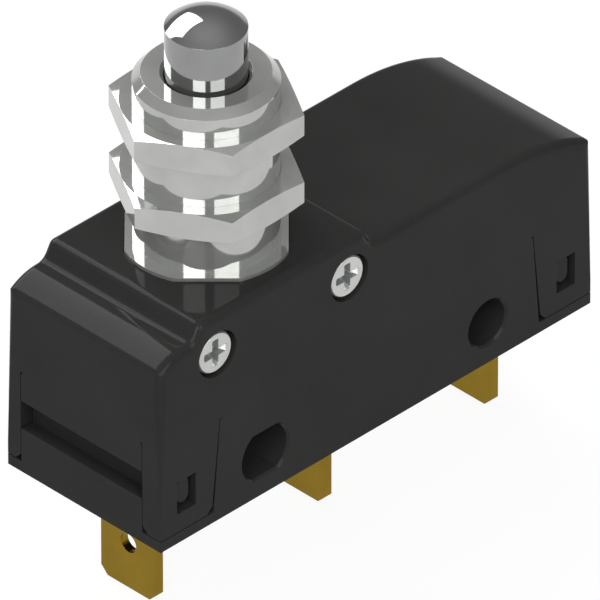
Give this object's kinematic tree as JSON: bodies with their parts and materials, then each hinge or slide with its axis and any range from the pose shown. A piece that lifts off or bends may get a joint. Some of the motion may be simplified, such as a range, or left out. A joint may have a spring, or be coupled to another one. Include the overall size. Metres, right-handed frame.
{
  "type": "micro switch",
  "caption": "Basic snap-action switch: domed plunger in a panel-mount bush with thin nuts, latched plastic body, flat push-on tabs underneath.",
  "frame": {"origin": "centre of the round fixing hole, half way through the body's depth", "axes": "+X along the body away from the plunger, +Y from the screwed front face to the back, +Z from the tabs towards the plunger"},
  "size_m": [0.0492, 0.0176, 0.052],
  "materials": {
    "body_plastic": "matt",
    "button_plastic": "matt",
    "nickel": "nickel plated",
    "zinc_steel": "zinc plated",
    "plunger_steel": "satin",
    "spring_steel": "drawn",
    "brass": "plain",
    "silver": "satin",
    "arm_copper": "rolled"
  },
  "bodies": {
    "body": {"base": "body_plastic", "cover": "body_plastic", "bush": "nickel", "left_screw": "zinc_steel", "right_screw": "zinc_steel", "retaining_ring": "spring_steel", "common_terminal": "brass", "open_terminal": "brass", "closed_terminal": "brass", "open_contact": "silver", "closed_contact": "silver"},
    "plunger": {"plunger": "plunger_steel", "return_spring": "spring_steel", "overtravel_spring": "spring_steel"},
    "button": {"button": "button_plastic"},
    "contact_arm": {"contact_arm": "arm_copper", "bow_spring": "arm_copper", "moving_contact": "silver"},
    "lower_nut": {"lower_nut": "nickel"},
    "upper_nut": {"upper_nut": "nickel"}
  },
  "joints": [
    {"name": "plunger_slide", "type": "slide", "parent": "body", "child": "plunger", "axis": [0, 0, -1], "range_m": [0, 0.004], "stiffness_N_per_m": 1000, "springref_m": -0.003, "deforming": ["return_spring", "overtravel_spring"]},
    {"name": "button_slide", "type": "slide", "parent": "body", "child": "button", "axis": [0, 0, -1], "range_m": [0, 0.00075]},
    {"name": "arm_hinge", "type": "hinge", "parent": "body", "child": "contact_arm", "pos_m": [-0.0283, 0, 0.00665], "axis": [0, 1, 0], "range_deg": [0, 1.99]},
    {"name": "lower_nut_slide", "type": "slide", "parent": "body", "child": "lower_nut", "axis": [0, 0, 1], "range_m": [-0.0039, 0.0015]},
    {"name": "upper_nut_slide", "type": "slide", "parent": "body", "child": "upper_nut", "axis": [0, 0, 1], "range_m": [-0.002, 0.0025]}
  ],
  "couplings": [
    {"joint": "button_slide", "follows": "plunger_slide", "ratio": 0.1875},
    {"joint": "arm_hinge", "follows": "plunger_slide", "rad_per_m": 8.639}
  ]
}
